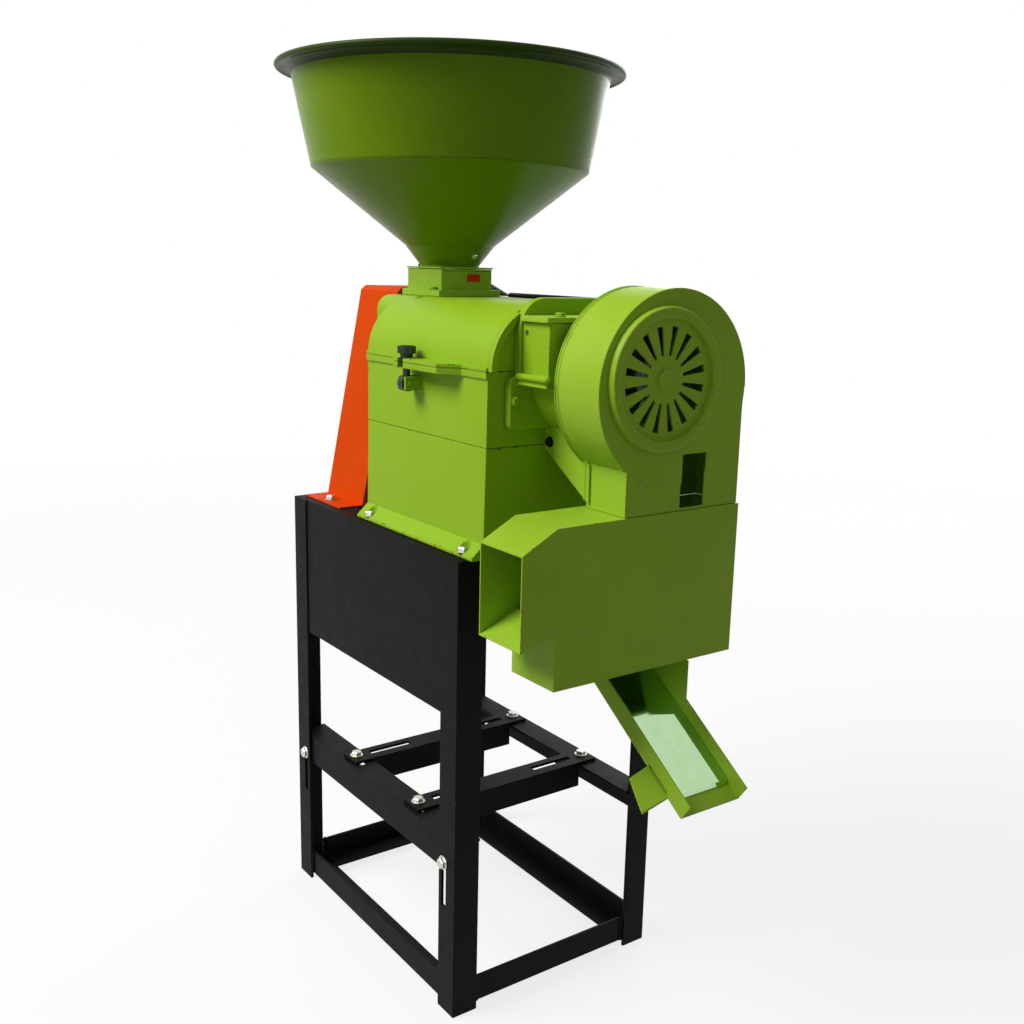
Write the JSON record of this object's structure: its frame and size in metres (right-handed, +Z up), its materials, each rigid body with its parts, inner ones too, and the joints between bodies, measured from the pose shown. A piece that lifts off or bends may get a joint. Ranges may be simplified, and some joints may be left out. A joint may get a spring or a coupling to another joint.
{
  "type": "rice huller",
  "caption": "Upright rice huller: round hopper over a horizontal milling head, end fan and separator box with rice chute, on a slotted angle steel stand.",
  "frame": {"origin": "on the floor, under the centre of the bounding box", "axes": "+Z up; X along the main shaft with the fan and the rice chute at +X and the belt guard at -X; -Y is the clamp side with the front panel and the husk spout's mouth"},
  "size_m": [0.74, 0.442, 1.1355],
  "materials": {
    "lime_enamel": "gloss enamel on cast iron and sheet steel",
    "black_enamel": "semi-matt enamel on angle steel",
    "orange_enamel": "satin enamel on sheet steel",
    "zinc_plated": "zinc plated or bare bright steel",
    "cast_iron": "turned and oiled"
  },
  "bodies": {
    "machine": {"leg_front_left": "black_enamel", "leg_front_right": "black_enamel", "leg_back_left": "black_enamel", "leg_back_right": "black_enamel", "top_rail_front": "black_enamel", "mid_rail_front": "black_enamel", "foot_rail_front": "black_enamel", "top_rail_back": "black_enamel", "mid_rail_back": "black_enamel", "foot_rail_back": "black_enamel", "top_rail_left": "black_enamel", "foot_rail_left": "black_enamel", "top_rail_right": "black_enamel", "foot_rail_right": "black_enamel", "front_panel": "black_enamel", "leg_bolt_front_left": "zinc_plated", "leg_bolt_front_right": "zinc_plated", "foot_bolt_front_left": "zinc_plated", "foot_bolt_front_right": "zinc_plated", "foot_bolt_back_left": "zinc_plated", "foot_bolt_back_right": "zinc_plated", "guard_bolt": "zinc_plated", "hinge_pin": "zinc_plated", "clamp_eye_bolt": "zinc_plated", "clamp_pin": "zinc_plated", "sieve_plate": "zinc_plated", "bearing_left": "zinc_plated", "bearing_right": "zinc_plated", "bran_screen": "zinc_plated", "head_base": "lime_enamel", "head_body": "lime_enamel", "outlet_flange": "lime_enamel", "outlet_housing": "lime_enamel", "outlet_lid": "lime_enamel", "fan_housing": "lime_enamel", "inlet_grille": "lime_enamel", "transfer_duct": "lime_enamel", "separator_box": "lime_enamel", "rice_chute": "lime_enamel", "side_spout": "lime_enamel", "belt_guard": "orange_enamel"},
    "rotor": {"main_shaft": "zinc_plated", "drive_pulley": "cast_iron", "feed_screw": "cast_iron", "milling_roller": "cast_iron", "fan_impeller": "zinc_plated"},
    "cover_and_hopper": {"top_cover": "lime_enamel", "cover_handle": "black_enamel", "feed_duct": "lime_enamel", "hopper_funnel": "lime_enamel", "hopper_bowl": "lime_enamel"},
    "gate": {"feed_gate": "lime_enamel"},
    "knob": {"clamp_knob": "cast_iron"},
    "flap": {"pressure_flap": "zinc_plated"},
    "motor_rail_a": {"motor_rail_left": "black_enamel", "motor_rail_left_bolt_front": "zinc_plated", "motor_rail_left_bolt_back": "zinc_plated"},
    "motor_rail_b": {"motor_rail_right": "black_enamel", "motor_rail_right_bolt_front": "zinc_plated", "motor_rail_right_bolt_back": "zinc_plated"}
  },
  "joints": [
    {"name": "main_shaft_spin", "type": "hinge", "parent": "machine", "child": "rotor", "pos_m": [0.0175, 0, 0.7836], "axis": [1, 0, 0], "continuous": true},
    {"name": "cover_hinge", "type": "hinge", "parent": "machine", "child": "cover_and_hopper", "pos_m": [-0.0095, 0.1371, 0.7836], "axis": [-1, 0, 0], "range_deg": [0, 95]},
    {"name": "feed_gate_slide", "type": "slide", "parent": "cover_and_hopper", "child": "gate", "axis": [-1, 0, 0], "range_m": [0, 0.06]},
    {"name": "clamp_knob_turn", "type": "hinge", "parent": "cover_and_hopper", "child": "knob", "pos_m": [-0.0195, -0.1408, 0.7884], "axis": [0, 0, 1], "continuous": true},
    {"name": "pressure_flap_hinge", "type": "hinge", "parent": "machine", "child": "flap", "pos_m": [0.1455, 0, 0.826], "axis": [0, -1, 0], "range_deg": [0, 14]},
    {"name": "motor_rail_left_slide", "type": "slide", "parent": "machine", "child": "motor_rail_a", "axis": [1, 0, 0], "range_m": [-0.016, 0.016]},
    {"name": "motor_rail_right_slide", "type": "slide", "parent": "machine", "child": "motor_rail_b", "axis": [1, 0, 0], "range_m": [-0.016, 0.016]}
  ]
}
